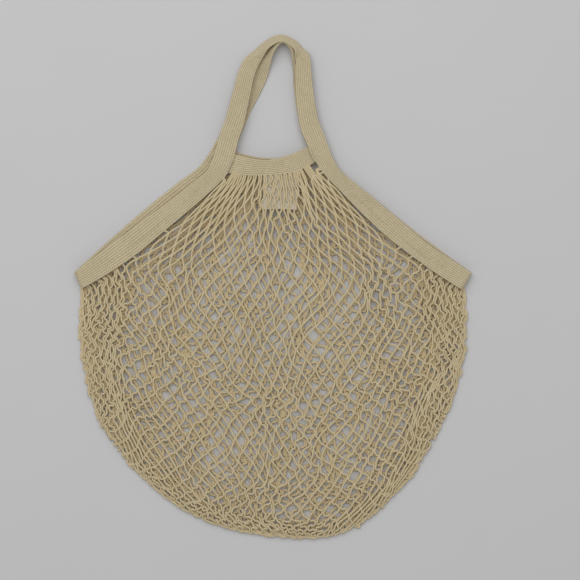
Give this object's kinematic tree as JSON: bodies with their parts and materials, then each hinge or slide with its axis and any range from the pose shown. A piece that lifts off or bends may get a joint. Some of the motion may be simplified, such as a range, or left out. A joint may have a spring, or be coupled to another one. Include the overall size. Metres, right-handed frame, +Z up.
{
  "type": "net produce bag",
  "caption": "Net bag of undyed cotton with a bound mouth and short tape handles, lying flat; it holds and carries fruit and vegetables.",
  "frame": {"origin": "on the table, under the middle of the bag's outline as it lies flat", "axes": "+X from the left corner to the right corner, +Y from the bottom fold towards the handles, +Z up from the table out of the front face"},
  "size_m": [0.404, 0.5143, 0.0167],
  "materials": {
    "netting_yarn": "undyed twisted cotton yarn, matte",
    "knit_tape": "ribbed cotton knit tape, matte",
    "label_cotton": "plain woven cotton, blank",
    "sewing_thread": "cotton sewing thread, matte"
  },
  "bodies": {
    "root": {"netting_back": "netting_yarn", "netting_front_lower": "netting_yarn", "netting_bottom_fold": "netting_yarn", "corner_fold_left": "knit_tape", "corner_fold_right": "knit_tape", "back_tape_left": "knit_tape", "back_tape_right": "knit_tape", "back_mouth_band": "knit_tape", "back_tack_left": "sewing_thread", "back_tack_right": "sewing_thread", "back_binding_stitches": "sewing_thread"},
    "front_mouth": {"netting_front_upper": "netting_yarn", "front_tape_left": "knit_tape", "front_tape_right": "knit_tape", "front_mouth_band": "knit_tape", "front_tack_left": "sewing_thread", "front_tack_right": "sewing_thread", "front_binding_stitches": "sewing_thread", "label": "label_cotton", "label_stitches": "sewing_thread"},
    "front_handle": {"front_handle": "knit_tape"},
    "back_handle": {"back_handle": "knit_tape"}
  },
  "joints": [
    {"name": "mouth_opening", "type": "hinge", "parent": "root", "child": "front_mouth", "pos_m": [0, 0.016, 0.0108], "axis": [1, 0, 0], "range_deg": [0, 40]},
    {"name": "front_handle_fold", "type": "hinge", "parent": "front_mouth", "child": "front_handle", "pos_m": [0, 0.143, 0.0108], "axis": [1, 0, 0], "range_deg": [0, 170]},
    {"name": "back_handle_fold", "type": "hinge", "parent": "root", "child": "back_handle", "pos_m": [0, 0.143, 0], "axis": [-1, 0, 0], "range_deg": [0, 170]}
  ]
}
